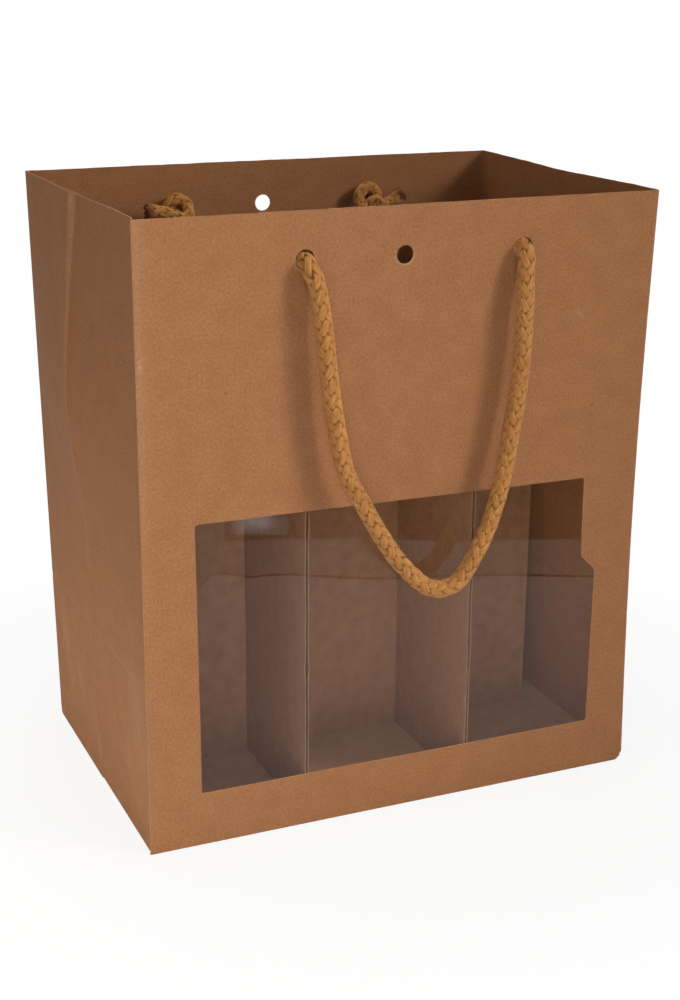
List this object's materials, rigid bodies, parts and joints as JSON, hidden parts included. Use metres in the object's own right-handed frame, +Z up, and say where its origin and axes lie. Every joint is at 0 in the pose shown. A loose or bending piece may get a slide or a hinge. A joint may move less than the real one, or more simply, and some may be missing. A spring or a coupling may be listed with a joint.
{
  "type": "window carrier bag for bottles",
  "caption": "Kraft-board carrier bag for half bottles, with a clear film window, braided rope handles and an egg-crate divider.",
  "frame": {"origin": "middle of the base, on the face the bag stands on", "axes": "+X to the right along the front, +Y from the front to the back, +Z up"},
  "size_m": [0.2281, 0.171, 0.254],
  "materials": {
    "kraft_board": "matt brown kraft",
    "clear_film": "clear gloss",
    "base_card": "matt brown card",
    "fluted_board": "matt brown, fluted",
    "braided_rope": "braided golden tan cord"
  },
  "bodies": {
    "bag": {"carrier_body": "kraft_board", "window_film": "clear_film", "base_card": "base_card", "divider_long": "fluted_board", "divider_cross_left": "fluted_board", "divider_cross_right": "fluted_board", "front_handle_knot_left": "braided_rope", "front_handle_knot_right": "braided_rope", "back_handle_knot_left": "braided_rope", "back_handle_knot_right": "braided_rope"},
    "front_handle": {"front_handle_rope": "braided_rope"},
    "back_handle": {"back_handle_rope": "braided_rope"}
  },
  "joints": [
    {"name": "front_handle_swing", "type": "hinge", "parent": "bag", "child": "front_handle", "pos_m": [0.0025, -0.0749, 0.235], "axis": [-1, 0, 0], "range_deg": [0, 165]},
    {"name": "back_handle_swing", "type": "hinge", "parent": "bag", "child": "back_handle", "pos_m": [-0.00166, 0.0749, 0.235], "axis": [1, 0, 0], "range_deg": [0, 165]}
  ]
}
